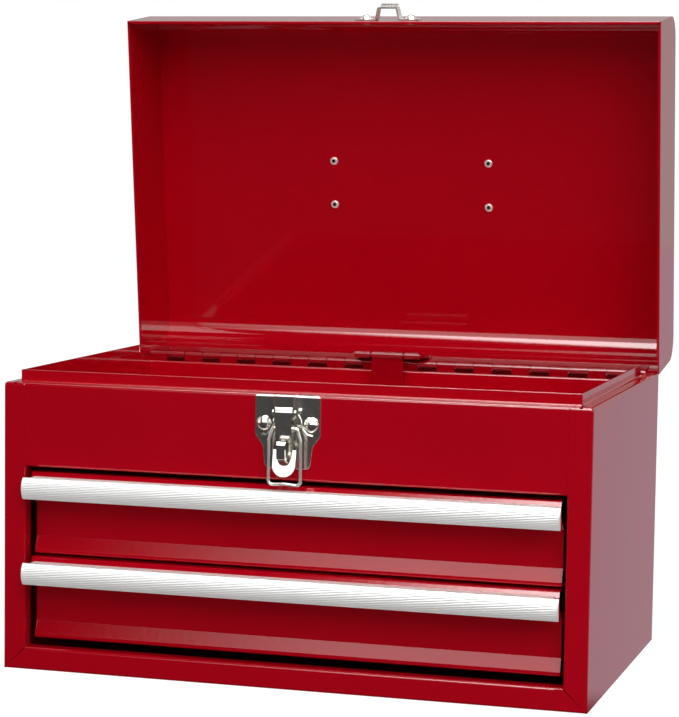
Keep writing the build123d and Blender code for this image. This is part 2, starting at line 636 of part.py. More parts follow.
def lever_pin():
    """Rivet-headed pin across the channel's cheeks."""
    y = FRONT - LEVER_PIVOT_OUT
    end = CHANNEL_HALF + 0.1
    pin = rod("x", (-end, y, LEVER_PIVOT_Z), (end, y, LEVER_PIVOT_Z), LEVER_PIN_R)
    for x in (-1, 1):
        start = (x * end, y, LEVER_PIVOT_Z)
        stop = (x * (end + 0.7), y, LEVER_PIVOT_Z)
        pin += rod("x", start, stop, LEVER_PIN_R + 0.6)
    return pin


def latch_lever():
    """Pressed lever: roll on the pin, flat face, web that dips to the box, flared tip."""
    flat = LEVER_PIVOT_OUT + LEVER_ROLL_R - LEVER_SHEET / 2
    line = [
        (FRONT - flat, LEVER_PIVOT_Z),
        (FRONT - flat, 152.3),
        (FRONT - 5.2, 143.8),
        (FRONT - 9.0, 126.0),
    ]
    sheet = along_x(folded(line, radius=[1.5, 2.5], thickness=LEVER_SHEET), -TIP_HALF, TIP_HALF)
    tip_centre = 134.6
    shape = outline((-LEVER_HALF, 170), (LEVER_HALF, 170), (LEVER_HALF, 149.5), (TIP_HALF, 144.5),
                    (TIP_HALF, tip_centre), (-TIP_HALF, tip_centre), (-TIP_HALF, 144.5),
                    (-LEVER_HALF, 149.5))
    shape += Pos(0, tip_centre) * Circle(TIP_HALF)
    sheet = sheet & along_y(shape, FRONT - 20, FRONT)
    pivot = (FRONT - LEVER_PIVOT_OUT, LEVER_PIVOT_Z)
    sheet += rod("x", (-LEVER_HALF, *pivot), (LEVER_HALF, *pivot), LEVER_ROLL_R)
    sheet -= rod("x", (-SIDE, *pivot), (SIDE, *pivot), LEVER_PIN_R + 0.06)
    slot = along_y(Pos(0, 142.2) * RectangleRounded(7.4, 16.4, 3.0), FRONT - 20, FRONT)
    sheet -= slot
    cheek = block(LEVER_HALF - 1.0, LEVER_HALF, FRONT - flat, FRONT - 4.2, 153.6, 158.0)
    for side_cheek in both_sides(cheek):
        sheet += side_cheek
    hole = (FRONT - BAIL_PIVOT_OUT, BAIL_PIVOT_Z)
    return sheet - rod("x", (-SIDE, *hole), (SIDE, *hole), BAIL_R + 0.06)


def latch_bail():
    """Wire bail that hangs from the lever and hooks over the keeper."""
    y = FRONT - BAIL_PIVOT_OUT
    half_path = [
        (LEVER_HALF - 1.3, BAIL_PIVOT_Z), (7.6, BAIL_PIVOT_Z), (BAIL_HALF, 148.6),
        (BAIL_HALF, BAIL_BOTTOM), (0, BAIL_BOTTOM + 0.9),
    ]
    mirrored = [(-x, z) for x, z in reversed(half_path[:-1])]
    points = [(x, y, z) for x, z in half_path + mirrored]
    radii = [1.6, 4.0, 2.4, 12.0, 2.4, 4.0, 1.6]
    path = FilletPolyline(*points, radius=radii)
    start = Plane(origin=points[0], z_dir=(1, 0, 0))
    return sweep(start * Circle(BAIL_R), path=path)


def latch_keeper():
    """Riveted strap on the lid's front with a raised hook that the bail pulls on."""
    rise = KEEPER_PROUD - LID_OVERHANG - 0.5
    line = [(-KEEPER_HALF, -0.5), (-7.9, -0.5), (-6.2, -rise), (6.2, -rise), (7.9, -0.5),
            (KEEPER_HALF, -0.5)]
    placed = [(x, LID_FRONT + y - FIT) for x, y in line]
    strap = along_z(folded(placed, radius=1.0, thickness=1.0), KEEPER_LOW, KEEPER_HIGH)
    strap += block(-5.6, 5.6, FRONT - KEEPER_PROUD - 1.9, FRONT - KEEPER_PROUD + 0.5,
                   KEEPER_HIGH - 1.0, KEEPER_HIGH)
    level = (KEEPER_LOW + KEEPER_HIGH) / 2
    for x in (-KEEPER_RIVET_X, KEEPER_RIVET_X):
        strap -= rod("y", (x, LID_FRONT - 4, level), (x, FRONT + 4, level), 1.55)
    return strap


def keeper_rivets():
    """Two domed rivets that hold the keeper."""
    level = (KEEPER_LOW + KEEPER_HIGH) / 2
    found = []
    for x in (-KEEPER_RIVET_X, KEEPER_RIVET_X):
        out = 1.0 + FIT + LID_OVERHANG
        found.append(domed_rivet(x, level, out, 4.2, 2.6, 1.5, 2 * SHEET - LID_OVERHANG))
    return Compound(found)


# ---- handle (made on the shut lid) --------------------------------------------------
def handle_bracket(x):
    """Plate with a half-round loop that holds one end of the handle."""
    base = LID_TOP + FIT
    plate = block(x - 11, x + 11, -22, 22, base, base + 1.5)
    plate = fillet(plate.edges().filter_by(Axis.Z), 5.0)
    centre = base + HANDLE_PIVOT
    loop_r = HANDLE_ROD_R + HANDLE_CLEAR
    outer_r = loop_r + 1.5
    loop = rod("x", (x - 8, 0, centre), (x + 8, 0, centre), outer_r)
    loop += block(x - 8, x + 8, -outer_r, outer_r, base + 0.5, centre)
    plate += loop
    plate -= rod("x", (x - 12, 0, centre), (x + 12, 0, centre), loop_r)
    for y in (-HANDLE_RIVET_Y, HANDLE_RIVET_Y):
        plate -= rod("z", (x, y, LID_TOP - 3), (x, y, LID_TOP + 4), 1.65)
    return plate


def handle_rivets():
    """Four tubular rivets: domed head outside, rolled ring inside the lid."""
    found = []
    top = LID_TOP + FIT + 1.5
    inside = LID_TOP - SHEET
    for x in (-HANDLE_X, HANDLE_X):
        for y in (-HANDLE_RIVET_Y, HANDLE_RIVET_Y):
            rivet = rod("z", (x, y, inside - 0.5), (x, y, top + 0.5), 1.6)
            head = rod("z", (x, y, top), (x, y, top + 1.2), 3.2)
            head = fillet(head.edges().group_by(Axis.Z)[-1], 0.8)
            ring = rod("z", (x, y, inside - 1.4), (x, y, inside), 2.75)
            ring = fillet(ring.edges().group_by(Axis.Z)[0], 0.75)
            bore = rod("z", (x, y, inside - 2), (x, y, inside + 1.8), 1.15)
            found.append(rivet + head + ring - bore)
    return Compound(found)


def handle_bail():
    """Steel rod handle lying back along the lid, its ends turned in through the loops."""
    level = LID_TOP + FIT + HANDLE_PIVOT
    outer = HANDLE_X + 15.0
    points = [
        (HANDLE_X - 9.0, 0, level), (outer, 0, level), (outer, HANDLE_REACH, level),
        (-outer, HANDLE_REACH, level), (-outer, 0, level), (-HANDLE_X + 9.0, 0, level),
    ]
    path = FilletPolyline(*points, radius=[5.0, 10.0, 10.0, 5.0])
    start = Plane(origin=points[0], z_dir=(1, 0, 0))
    return sweep(start * Circle(HANDLE_ROD_R), path=path)


def handle_grip():
    """Moulded grip round the middle of the rod."""
    level = LID_TOP + FIT + HANDLE_PIVOT
    half = HANDLE_X - 8.0
    centre = (0, HANDLE_REACH, level)
    grip = rod("x", (-half, *centre[1:]), (half, *centre[1:]), HANDLE_GRIP_R)
    grip = fillet(grip.edges().filter_by(GeomType.CIRCLE), 2.0)
    return grip - rod("x", (-SIDE, *centre[1:]), (SIDE, *centre[1:]), HANDLE_ROD_R + FIT)


# ---- all pieces ---------------------------------------------------------------------
def cabinet_pieces():
    """Everything that stands still."""
    right_side, left_side = both_sides(side_panel())
    pieces = {
        "right_side_panel": right_side,
        "left_side_panel": left_side,
        "bottom_panel": bottom_panel(),
        "back_panel": back_panel(),
        "front_panel": front_panel(),
        "top_tray": top_tray(),
        "hinge_leaf_cabinet": hinge_leaf(-1, 1),
        "hinge_pin": hinge_pin(),
        "latch_base": latch_base(),
        "latch_rivets": latch_rivets(),
        "latch_staple": latch_staple(),
        "latch_lever_pin": lever_pin(),
    }
    for name, bottom in DRAWER_BOTTOMS.items():
        right_rail, left_rail = both_sides(rail(bottom))
        pieces[f"{name}_right_rail"] = right_rail
        pieces[f"{name}_left_rail"] = left_rail
    return pieces


def drawer_pieces(name, bottom):
    """Everything that slides with one drawer."""
    right_runner, left_runner = both_sides(runner(bottom))
    return {
        f"{name}_drawer_pan": drawer_pan(bottom),
        f"{name}_drawer_front": drawer_front(bottom),
        f"{name}_drawer_pull": drawer_pull(bottom),
        f"{name}_pull_screws": pull_screws(bottom),
        f"{name}_right_runner": right_runner,
        f"{name}_left_runner": left_runner,
    }


def lid_pieces():
    """Everything on the lid, turned open."""
    right_end, left_end = both_sides(lid_end())
    shut = {
        "lid_wrap": lid_wrap(),
        "lid_right_end": right_end,
        "lid_left_end": left_end,
        "hinge_leaf_lid": hinge_leaf(1, 0),
        "lock_bracket": lock_bracket(),
        "lock_pin": lock_pin(),
        "latch_keeper": latch_keeper(),
        "keeper_rivets": keeper_rivets(),
        "handle_right_bracket": handle_bracket(HANDLE_X),
        "handle_left_bracket": handle_bracket(-HANDLE_X),
        "handle_rivets": handle_rivets(),
        "handle_bail": handle_bail(),
        "handle_grip": handle_grip(),
    }
    return {name: open_lid(piece) for name, piece in shut.items()}


def all_pieces():
    """Every piece by its node's name."""
    pieces = cabinet_pieces()
    for name, bottom in DRAWER_BOTTOMS.items():
        pieces.update(drawer_pieces(name, bottom))
    pieces.update(lid_pieces())
    pieces["lock_bar"] = lock_bar()
    pieces["latch_lever"] = latch_lever()
    pieces["latch_bail"] = latch_bail()
    return pieces


for node, piece in all_pieces().items():
    export_step(piece, f"parts/{node}.step")
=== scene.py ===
import math

import bpy
import numpy as np
from mathutils import Matrix, Vector


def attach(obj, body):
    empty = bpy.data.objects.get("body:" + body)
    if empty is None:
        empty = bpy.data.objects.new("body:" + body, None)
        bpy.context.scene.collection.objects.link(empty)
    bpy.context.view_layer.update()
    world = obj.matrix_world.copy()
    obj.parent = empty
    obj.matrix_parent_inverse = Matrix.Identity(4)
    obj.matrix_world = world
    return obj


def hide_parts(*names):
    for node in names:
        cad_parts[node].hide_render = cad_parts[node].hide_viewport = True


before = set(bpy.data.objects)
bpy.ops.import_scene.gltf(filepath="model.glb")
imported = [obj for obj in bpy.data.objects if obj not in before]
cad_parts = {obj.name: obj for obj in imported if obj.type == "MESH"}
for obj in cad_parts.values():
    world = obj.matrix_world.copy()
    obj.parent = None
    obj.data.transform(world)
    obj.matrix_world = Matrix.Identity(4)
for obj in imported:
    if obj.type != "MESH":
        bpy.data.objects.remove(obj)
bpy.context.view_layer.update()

# ---- The view ------------------------------------------------------------------------
# The box is seen from a little to its right and just above, by a long lens held almost
# level.  Place and angles were worked out from the corners of the cabinet.
CAMERA_PLACE = (0.4372, -1.4869, 0.3267)
CAMERA_YAW = math.radians(16.483)
CAMERA_PITCH = math.radians(5.164)
CAMERA_ROLL = math.radians(0.804)
PICTURE_HEIGHT = 717
FOCAL_PIXELS = 2489.6
SENSOR = 36.0

ahead = Vector((-math.sin(CAMERA_YAW) * math.cos(CAMERA_PITCH),
                math.cos(CAMERA_YAW) * math.cos(CAMERA_PITCH),
                -math.sin(CAMERA_PITCH)))
level = Vector((math.cos(CAMERA_YAW), math.sin(CAMERA_YAW), 0))
upright = level.cross(ahead)
across = level * math.cos(CAMERA_ROLL) + upright * math.sin(CAMERA_ROLL)
upward = upright * math.cos(CAMERA_ROLL) - level * math.sin(CAMERA_ROLL)
camera = bpy.data.objects.new("camera", bpy.data.cameras.new("camera"))
camera.data.sensor_width = SENSOR
camera.data.lens = SENSOR * FOCAL_PIXELS / PICTURE_HEIGHT
turned = Matrix((across, upward, -ahead)).transposed().to_4x4()
camera.matrix_world = Matrix.Translation(CAMERA_PLACE) @ turned
bpy.context.scene.collection.objects.link(camera)
bpy.context.scene.camera = camera

# ---- Painted sheet steel: cabinet, tray, drawers and lid ---------------------------------
# Folded 0.9 mm sheet, spot welded, then sprayed with a deep red gloss enamel.  The film is
# mirror-like, with a slow orange peel, and its colour and gloss drift a little over a sheet.
PAINT_RED = (0.42, 0.0006, 0.0085, 1)
PAINT_DEEP = (0.37, 0.0005, 0.0075, 1)
PAINT_ROUGHNESS = 0.07
GLOSS_DRIFT = (0.8, 1.25)   # times the roughness, from the glossiest patch to the dullest
PEEL_STRENGTH = 0.02
PEEL_DISTANCE = 0.001
PAINT_IOR = 1.5
PAINTED_SHADE_FOOT = 0.165         # painted shade on the back panel above this height, for the shade of the hinge
PAINTED_SHADE_REAR = 0.1115        # and in front of this depth
# colour of the painted shade
PAINTED_SHADE_TONE = (PAINT_DEEP[0] * 0.16, 0.0002, 0.0015, 1)
PAINTED = ("right_side_panel", "left_side_panel", "bottom_panel", "front_panel", "top_tray",
           "upper_right_rail", "upper_left_rail", "lower_right_rail", "lower_left_rail",
           "upper_right_runner", "upper_left_runner", "lower_right_runner", "lower_left_runner",
           "upper_drawer_pan", "lower_drawer_pan", "upper_drawer_front", "lower_drawer_front",
           "lid_wrap", "lid_right_end", "lid_left_end")


def orange_peel_group():
    """Height of a sprayed film: slow waves a few millimetres long with a finer grain on them."""
    group = bpy.data.node_groups.new("orange_peel", "ShaderNodeTree")
    for name, default in (("Wave Scale", 260.0), ("Grain Scale", 1500.0), ("Grain Share", 0.15)):
        entry = group.interface.new_socket(name, in_out="INPUT", socket_type="NodeSocketFloat")
        entry.default_value = default
    group.interface.new_socket("Height", in_out="OUTPUT", socket_type="NodeSocketFloat")
    group.interface.new_socket("Tone", in_out="OUTPUT", socket_type="NodeSocketFloat")
    new, link = group.nodes.new, group.links.new
    enter, leave = new("NodeGroupInput"), new("NodeGroupOutput")
    place = new("ShaderNodeTexCoord")
    waves, grain, tone, mixed = (new("ShaderNodeTexNoise"), new("ShaderNodeTexNoise"),
                                 new("ShaderNodeTexNoise"), new("ShaderNodeMix"))
    for noise in (waves, grain, tone):
        link(place.outputs["Object"], noise.inputs["Vector"])
    link(enter.outputs["Wave Scale"], waves.inputs["Scale"])
    link(enter.outputs["Grain Scale"], grain.inputs["Scale"])
    waves.inputs["Detail"].default_value = 1.0
    grain.inputs["Detail"].default_value = 2.0
    tone.inputs["Scale"].default_value = 9.0
    tone.inputs["Detail"].default_value = 3.0
    link(enter.outputs["Grain Share"], mixed.inputs["Factor"])
    link(waves.outputs["Fac"], mixed.inputs["A"])
    link(grain.outputs["Fac"], mixed.inputs["B"])
    link(mixed.outputs["Result"], leave.inputs["Height"])
    link(tone.outputs["Fac"], leave.inputs["Tone"])
    return group


orange_peel = orange_peel_group()


def new_material(name):
    """A material with an empty Principled shader, and shortcuts to its nodes and links."""
    material = bpy.data.materials.new(name)
    material.use_nodes = True
    tree = material.node_tree
    return material, tree.nodes["Principled BSDF"], tree.nodes.new, tree.links.new


def enamel(name, light, deep, roughness):
    """Gloss paint: its colour drifts a little over the sheet, roughness with it, and the film waves."""
    material, shader, new, link = new_material(name)
    peel = new("ShaderNodeGroup")
    peel.node_tree = orange_peel
    colour = new("ShaderNodeMix")
    colour.data_type = "RGBA"
    colour.inputs["A"].default_value = deep
    colour.inputs["B"].default_value = light
    link(peel.outputs["Tone"], colour.inputs["Factor"])
    link(colour.outputs["Result"], shader.inputs["Base Color"])
    sheen = new("ShaderNodeMapRange")
    sheen.inputs["To Min"].default_value = roughness * GLOSS_DRIFT[0]
    sheen.inputs["To Max"].default_value = roughness * GLOSS_DRIFT[1]
    link(peel.outputs["Tone"], sheen.inputs["Value"])
    link(sheen.outputs["Result"], shader.inputs["Roughness"])
    bump = new("ShaderNodeBump")
    bump.inputs["Strength"].default_value = PEEL_STRENGTH
    bump.inputs["Distance"].default_value = PEEL_DISTANCE
    link(peel.outputs["Height"], bump.inputs["Height"])
    link(bump.outputs["Normal"], shader.inputs["Normal"])
    shader.inputs["IOR"].default_value = PAINT_IOR
    return material


def give(material, *nodes):
    """Put a finish on CAD nodes."""
    for node in nodes:
        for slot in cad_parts[node].material_slots:
            slot.material = material


def painted_shade(material, above, before, tone):
    """Painted shade in a recess: one dark tone above a height and in front of a depth."""
    tree = material.node_tree
    new, link = tree.nodes.new, tree.links.new
    shader = tree.nodes["Principled BSDF"]
    colour = shader.inputs["Base Color"].links[0].from_socket
    place, split = new("ShaderNodeTexCoord"), new("ShaderNodeSeparateXYZ")
    link(place.outputs["Object"], split.inputs["Vector"])
    high, near, both = new("ShaderNodeMath"), new("ShaderNodeMath"), new("ShaderNodeMath")
    high.operation, near.operation, both.operation = "GREATER_THAN", "LESS_THAN", "MULTIPLY"
    link(split.outputs["Z"], high.inputs[0])
    high.inputs[1].default_value = above
    link(split.outputs["Y"], near.inputs[0])
    near.inputs[1].default_value = before
    link(high.outputs["Value"], both.inputs[0])
    link(near.outputs["Value"], both.inputs[1])
    dark = new("ShaderNodeMix")
    dark.data_type = "RGBA"
    dark.inputs["B"].default_value = tone
    link(both.outputs["Value"], dark.inputs["Factor"])
    link(colour, dark.inputs["A"])
    link(dark.outputs["Result"], shader.inputs["Base Color"])
    return material


give(enamel("red_enamel", PAINT_RED, PAINT_DEEP, PAINT_ROUGHNESS), *PAINTED)
# The back panel gets a painted shade: a dark tone where the hinge shades it.
rear_paint_with_shade = enamel("red_enamel_rear_painted_shade", PAINT_RED, PAINT_DEEP, PAINT_ROUGHNESS)
give(painted_shade(rear_paint_with_shade, PAINTED_SHADE_FOOT, PAINTED_SHADE_REAR, PAINTED_SHADE_TONE), "back_panel")

# ---- Drawer pulls ------------------------------------------------------------------------
# An aluminium extrusion, clear anodised, as wide as the drawer.  A bulged face with fine
# shallow flutes, a little aslant, hangs from a web, whose rear leg is screwed to the drawer.
PULL_HALF = 0.164
PULL_LEG_HALF = 0.160       # the web and the leg are cut back at both ends
PULL_TOPS = {"upper": 0.1185, "lower": 0.0666}
PULL_DEEP = 0.013           # height of the face
PULL_FRONT = -0.1235        # foremost line of the face
PULL_BEHIND = PULL_FRONT + 0.0036   # flat rear side of the face
WEB_START = PULL_FRONT + 0.0035
LEG_REAR = -0.1122
LEG_DEEP = 0.0073
WALL = 0.0015               # thickness of the web and the leg
BULGE_RADIUS = 0.009425
EDGE_RADIUS = 0.0007
FLUTE_PITCH = 0.00144
FLUTE_DEPTH = 0.00025
FLUTE_SLANT = math.tan(math.radians(6.0))
FLUTE_STOP = 0.0012         # plain strip at each end, then the length over which they deepen
FLUTE_RUN_IN = 0.0008
FIRST_STEP = 0.0004         # from the cut end to the first row of points
BULGE_POINTS = 97
EDGE_POINTS = 6
STATIONS = 163
CRISP_FOLD = math.radians(40)   # sharper folds than this aren't smoothed over
ALUMINIUM_LIGHT = (0.87, 0.875, 0.86, 1)
ALUMINIUM_DULL = (0.80, 0.805, 0.79, 1)
ALUMINIUM_ROUGHNESS = (0.30, 0.42)
ALUMINIUM_METAL = 0.15
STREAKS = (6, 900, 900)     # noise periods to a metre along x, y and z


def tube_faces(rows, columns):
    """Quads between the points of a grid whose last row is joined to its first."""
    row = np.arange(rows)[:, None]
    column = np.arange(columns - 1)[None, :]
    after = (row + 1) % rows
    corners = (row * columns + column, row * columns + column + 1,
               after * columns + column + 1, after * columns + column)
    return np.stack([c.ravel() for c in corners], axis=1)


def new_piece(name, points, faces, caps, material, body):
    """A finished mesh object that rides on a body of the frame."""
    mesh = bpy.data.meshes.new(name)
    mesh.from_pydata(points.tolist(), [], faces.tolist() + caps)
    mesh.materials.append(material)
    mesh.shade_smooth()
    mesh.set_sharp_from_angle(angle=CRISP_FOLD)
    piece = bpy.data.objects.new(name, mesh)
    bpy.context.scene.collection.objects.link(piece)
    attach(piece, body)
    return piece


def swept_bar(profile, stations, flutes):
    """Closed (y, z) profile repeated at every x; its first rows sink by a cosine of z - slant * x."""
    y = np.repeat(profile[:, :1], len(stations), axis=1)
    z = np.repeat(profile[:, 1:], len(stations), axis=1)
    x = np.repeat(stations[None, :], len(profile), axis=0)
    phase = 2 * np.pi * (z - FLUTE_SLANT * x) / FLUTE_PITCH
    shallow = np.clip((PULL_HALF - FLUTE_STOP - np.abs(x)) / FLUTE_RUN_IN, 0, 1)
    sunk = FLUTE_DEPTH * (0.5 - 0.5 * np.cos(phase)) * shallow
    y = y + np.where(np.arange(len(profile))[:, None] < flutes, sunk, 0)
    count, wide = len(profile), len(stations)
    rows = np.arange(count)
    caps = [(rows[::-1] * wide).tolist(), (rows * wide + wide - 1).tolist()]
    return np.stack([x, y, z], axis=2).reshape(-1, 3), tube_faces(count, wide), caps


def pull_face(top):
    """Bulge as an arc through the face, rounded over at both edges, closed by a flat rear side."""
    middle = top - PULL_DEEP / 2
    centre = PULL_FRONT + BULGE_RADIUS
    inner = BULGE_RADIUS - EDGE_RADIUS
    turn = math.asin((PULL_DEEP / 2 - EDGE_RADIUS) / inner)
    bulge = np.linspace(-turn, turn, BULGE_POINTS)
    edge = np.linspace(turn, math.pi / 2, EDGE_POINTS)[1:]
    edge_y = centre - inner * math.cos(turn) - EDGE_RADIUS * np.cos(edge)
    edge_z = PULL_DEEP / 2 - EDGE_RADIUS + EDGE_RADIUS * np.sin(edge)
    y = np.concatenate([centre - BULGE_RADIUS * np.cos(bulge), edge_y,
                        [PULL_BEHIND, PULL_BEHIND], edge_y[::-1]])
    z = np.concatenate([BULGE_RADIUS * np.sin(bulge), edge_z,
                        [PULL_DEEP / 2, -PULL_DEEP / 2], -edge_z[::-1]])
    between = np.linspace(FIRST_STEP - PULL_HALF, PULL_HALF - FIRST_STEP, STATIONS)
    stations = np.concatenate([[-PULL_HALF], between, [PULL_HALF]])
    return swept_bar(np.stack([y, z + middle], axis=1), stations, len(bulge))


def pull_leg(top):
    """Angle behind the face as a profile of six straight sides: a web from its top edge, and a leg."""
    profile = [(WEB_START, top), (LEG_REAR, top), (LEG_REAR, top - LEG_DEEP),
               (LEG_REAR - WALL, top - LEG_DEEP), (LEG_REAR - WALL, top - WALL), (WEB_START, top - WALL)]
    return swept_bar(np.array(profile)[::-1], np.array([-PULL_LEG_HALF, PULL_LEG_HALF]), 0)


def satin_aluminium():
    """Anodised metal: pale, satin, with faint streaks along the extrusion."""
    material, shader, new, link = new_material("satin_aluminium")
    place, stretch, streaks = new("ShaderNodeTexCoord"), new("ShaderNodeMapping"), new("ShaderNodeTexNoise")
    stretch.inputs["Scale"].default_value = STREAKS
    link(place.outputs["Object"], stretch.inputs["Vector"])
    link(stretch.outputs["Vector"], streaks.inputs["Vector"])
    streaks.inputs["Scale"].default_value = 1.0
    streaks.inputs["Detail"].default_value = 3.0
    rough = new("ShaderNodeMapRange")
    rough.inputs["To Min"].default_value = ALUMINIUM_ROUGHNESS[0]
    rough.inputs["To Max"].default_value = ALUMINIUM_ROUGHNESS[1]
    link(streaks.outputs["Fac"], rough.inputs["Value"])
    link(rough.outputs["Result"], shader.inputs["Roughness"])
    tone = new("ShaderNodeMix")
    tone.data_type = "RGBA"
    tone.inputs["A"].default_value = ALUMINIUM_DULL
    tone.inputs["B"].default_value = ALUMINIUM_LIGHT
    link(streaks.outputs["Fac"], tone.inputs["Factor"])
    link(tone.outputs["Result"], shader.inputs["Base Color"])
    shader.inputs["Metallic"].default_value = ALUMINIUM_METAL
    return material


aluminium = satin_aluminium()
give(aluminium, "upper_drawer_pull", "lower_drawer_pull")
for drawer, top in PULL_TOPS.items():
    for part, (points, faces, caps) in (("face", pull_face(top)), ("leg", pull_leg(top))):
        name = f"{drawer}_pull_{part}"
        pull = new_piece(name, points, faces, caps, aluminium, f"{drawer}_drawer")
        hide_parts(f"{drawer}_drawer_pull")

# ---- Plated hardware: latch, keeper, handle ------------------------------------------------
# Pressed and wire-formed steel, riveted on and bright nickel plated: near-mirror, a little
# warm, with a fine polishing haze.  The bail and the keeper have a paler, softer coat.
NICKELLED = ("latch_base", "latch_rivets", "latch_staple", "latch_lever_pin", "latch_lever",
             "handle_right_bracket", "handle_left_bracket", "handle_bail")
HAZE_SCALE = 400.0


def plated(name, light, dark, low, high, scale, metal=0.93):
    """Plated steel: colour (dark to light) and roughness (low to high) drift with a fine haze."""
    material, shader, new, link = new_material(name)
    place, haze = new("ShaderNodeTexCoord"), new("ShaderNodeTexNoise")
    link(place.outputs["Object"], haze.inputs["Vector"])
    haze.inputs["Scale"].default_value = scale
    haze.inputs["Detail"].default_value = 5.0
    tone = new("ShaderNodeMix")
    tone.data_type = "RGBA"
    tone.inputs["A"].default_value = dark
    tone.inputs["B"].default_value = light
    link(haze.outputs["Fac"], tone.inputs["Factor"])
    link(tone.outputs["Result"], shader.inputs["Base Color"])
    rough = new("ShaderNodeMapRange")
    rough.inputs["To Min"].default_value = low
    rough.inputs["To Max"].default_value = high
    link(haze.outputs["Fac"], rough.inputs["Value"])
    link(rough.outputs["Result"], shader.inputs["Roughness"])
    shader.inputs["Metallic"].default_value = metal
    return material


nickel = plated("bright_nickel", light=(0.80, 0.78, 0.73, 1), dark=(0.66, 0.65, 0.60, 1),
                low=0.06, high=0.18, scale=HAZE_SCALE)
give(nickel, *NICKELLED)
pale_nickel = plated("bright_nickel_wire", light=(0.90, 0.87, 0.83, 1), dark=(0.78, 0.74, 0.70, 1),
                     low=0.10, high=0.25, scale=HAZE_SCALE, metal=0.70)
give(pale_nickel, "latch_bail", "latch_keeper", "keeper_rivets")

# ---- Tubular rivets of the handle ------------------------------------------------------------
# Four nickelled rivets hold the handle's brackets through the lid.  Their ends are rolled over
# inside the lid as bright rings round a bore, whose dark is painted shade.
RIVET_X = 0.0543            # from the middle of the lid to each, across it and along it
RIVET_ALONG = 0.015
LID_MIDDLE = (0, 0.0986, 0.2859)
LID_ALONG = (0, -0.12187, 0.99255)
BORE = 0.00118              # radius
# painted shade in each bore
BORE_PAINTED_SHADE = (0.006, 0.004, 0.004, 1)
RING_TONE = (0.95, 0.86, 0.82, 1)
RING_METAL = 0.45
RING_ROUGHNESS = 0.2


def tubular_nickel():
    """Plating with a painted shade: dark within the bore radius of the four rivet axes."""
    material, shader, new, link = new_material("tubular_nickel")
    place, shift, along, split = (new("ShaderNodeTexCoord"), new("ShaderNodeVectorMath"),
                                  new("ShaderNodeVectorMath"), new("ShaderNodeSeparateXYZ"))
    shift.operation, along.operation = "SUBTRACT", "DOT_PRODUCT"
    shift.inputs[1].default_value = LID_MIDDLE
    along.inputs[1].default_value = LID_ALONG
    link(place.outputs["Object"], shift.inputs[0])
    link(shift.outputs["Vector"], along.inputs[0])
    link(place.outputs["Object"], split.inputs["Vector"])
    aside = []
    for source, centre in ((split.outputs["X"], RIVET_X), (along.outputs["Value"], RIVET_ALONG)):
        size, gap, square = new("ShaderNodeMath"), new("ShaderNodeMath"), new("ShaderNodeMath")
        size.operation, gap.operation, square.operation = "ABSOLUTE", "SUBTRACT", "POWER"
        link(source, size.inputs[0])
        link(size.outputs["Value"], gap.inputs[0])
        gap.inputs[1].default_value = centre
        link(gap.outputs["Value"], square.inputs[0])
        square.inputs[1].default_value = 2.0
        aside.append(square.outputs["Value"])
    total, outside = new("ShaderNodeMath"), new("ShaderNodeMath")
    total.operation, outside.operation = "ADD", "GREATER_THAN"
    link(aside[0], total.inputs[0])
    link(aside[1], total.inputs[1])
    link(total.outputs["Value"], outside.inputs[0])
    outside.inputs[1].default_value = BORE ** 2
    tone = new("ShaderNodeMix")
    tone.data_type = "RGBA"
    tone.inputs["A"].default_value = BORE_PAINTED_SHADE
    tone.inputs["B"].default_value = RING_TONE
    link(outside.outputs["Value"], tone.inputs["Factor"])
    link(tone.outputs["Result"], shader.inputs["Base Color"])
    shader.inputs["Metallic"].default_value = RING_METAL
    shader.inputs["Roughness"].default_value = RING_ROUGHNESS
    return material


give(tubular_nickel(), "handle_rivets")

# ---- Zinc plated screws --------------------------------------------------------------------
# Three small steel screws hold the leg of each pull.  Their dull bluish zinc coat is rougher
# and greyer in patches.
zinc = plated("zinc", light=(0.60, 0.62, 0.64, 1), dark=(0.42, 0.44, 0.46, 1),
              low=0.30, high=0.50, scale=120.0)
give(zinc, "upper_pull_screws", "lower_pull_screws")

# ---- Hinge and drawer lock -----------------------------------------------------------------
# The piano hinge, the lock bar and its bracket are steel strip, fastened in before the box is
# sprayed.  The same enamel lies on them, a little less glossy, and its colour is made deeper
# as a painted shade for the shade they stand in under the lid.
HINGE_SHADED_RED = (0.31, 0.0005, 0.0070, 1)
HINGE_SHADED_DEEP = (0.26, 0.0004, 0.0058, 1)
HINGE_ROUGHNESS = 0.10
give(enamel("red_enamel_shaded", HINGE_SHADED_RED, HINGE_SHADED_DEEP, HINGE_ROUGHNESS),
     "hinge_leaf_cabinet", "hinge_leaf_lid", "hinge_pin", "lock_bracket", "lock_pin", "lock_bar")

# ---- Handle grip ---------------------------------------------------------------------------
# A tube of black plastic moulded round the middle of the handle's steel rod, dull, with the
# fine spark-eroded texture of its mould.
GRIP_BLACK = (0.018, 0.018, 0.018, 1)
GRIP_ROUGHNESS = 0.45
GRAIN_SCALE = 2500.0
GRAIN_STRENGTH = 0.25
GRAIN_DEPTH = 0.0002


def moulded_black():
    """Fine spark-eroded texture in black plastic."""
    material, shader, new, link = new_material("moulded_black")
    place, grain = new("ShaderNodeTexCoord"), new("ShaderNodeTexNoise")
    link(place.outputs["Object"], grain.inputs["Vector"])
    grain.inputs["Scale"].default_value = GRAIN_SCALE
    bump = new("ShaderNodeBump")
    bump.inputs["Strength"].default_value = GRAIN_STRENGTH
    bump.inputs["Distance"].default_value = GRAIN_DEPTH
    link(grain.outputs["Fac"], bump.inputs["Height"])
    link(bump.outputs["Normal"], shader.inputs["Normal"])
    shader.inputs["Base Color"].default_value = GRIP_BLACK
    shader.inputs["Roughness"].default_value = GRIP_ROUGHNESS
    return material


give(moulded_black(), "handle_grip")

